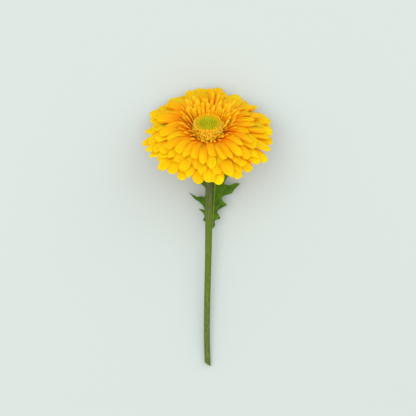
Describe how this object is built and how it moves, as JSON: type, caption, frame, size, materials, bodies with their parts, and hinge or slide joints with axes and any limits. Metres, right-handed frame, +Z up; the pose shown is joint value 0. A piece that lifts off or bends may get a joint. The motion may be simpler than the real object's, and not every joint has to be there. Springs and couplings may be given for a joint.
{
  "type": "gerbera",
  "caption": "Cut double gerbera, yellow with a green eye, with its stem and one lobed leaf, lying on its outer petals and its cut end",
  "frame": {"origin": "middle of the whole flower's footprint, on the surface it lies on", "axes": "+Y along the stem from its cut end to the head, +Z up, +X to the right seen from above with the head away"},
  "size_m": [0.1132, 0.2432, 0.0706],
  "materials": {
    "petal": "soft satin petal, bright warm yellow, faint lines along its length",
    "inner_petal": "soft satin petal, orange-yellow, deepening towards the foot",
    "disc_floret": "matt, orange-yellow with cream-yellow tips",
    "eye": "matt, fine buds packed close, olive green to yellow-green",
    "bract": "matt green, finely hairy",
    "stem": "soft sheen, green with fine lines along its length",
    "leaf": "matt dark green with paler veins"
  },
  "bodies": {
    "root": {"receptacle": "bract", "green_eye": "eye", "disc_florets": "disc_floret", "trans_florets_outer": "inner_petal", "trans_florets_inner": "inner_petal", "bracts_outer": "bract", "bracts_inner": "bract", "ray_petal_outer_01": "petal", "ray_petal_outer_02": "petal", "ray_petal_outer_03": "petal", "ray_petal_outer_04": "petal", "ray_petal_outer_05": "petal", "ray_petal_outer_06": "petal", "ray_petal_outer_07": "petal", "ray_petal_outer_08": "petal", "ray_petal_outer_09": "petal", "ray_petal_outer_10": "petal", "ray_petal_outer_11": "petal", "ray_petal_outer_12": "petal", "ray_petal_outer_13": "petal", "ray_petal_outer_14": "petal", "ray_petal_outer_15": "petal", "ray_petal_outer_16": "petal", "ray_petal_outer_17": "petal", "ray_petal_outer_18": "petal", "ray_petal_outer_19": "petal", "ray_petal_outer_20": "petal", "ray_petal_second_01": "petal", "ray_petal_second_02": "petal", "ray_petal_second_03": "petal", "ray_petal_second_04": "petal", "ray_petal_second_05": "petal", "ray_petal_second_06": "petal", "ray_petal_second_07": "petal", "ray_petal_second_08": "petal", "ray_petal_second_09": "petal", "ray_petal_second_10": "petal", "ray_petal_second_11": "petal", "ray_petal_second_12": "petal", "ray_petal_second_13": "petal", "ray_petal_second_14": "petal", "ray_petal_second_15": "petal", "ray_petal_second_16": "petal", "ray_petal_second_17": "petal", "ray_petal_second_18": "petal", "ray_petal_second_19": "petal", "ray_petal_second_20": "petal", "ray_row_third": "petal", "ray_row_fourth": "petal", "ray_row_inner": "inner_petal", "stem": "stem", "leaf": "leaf"}
  },
  "joints": []
}
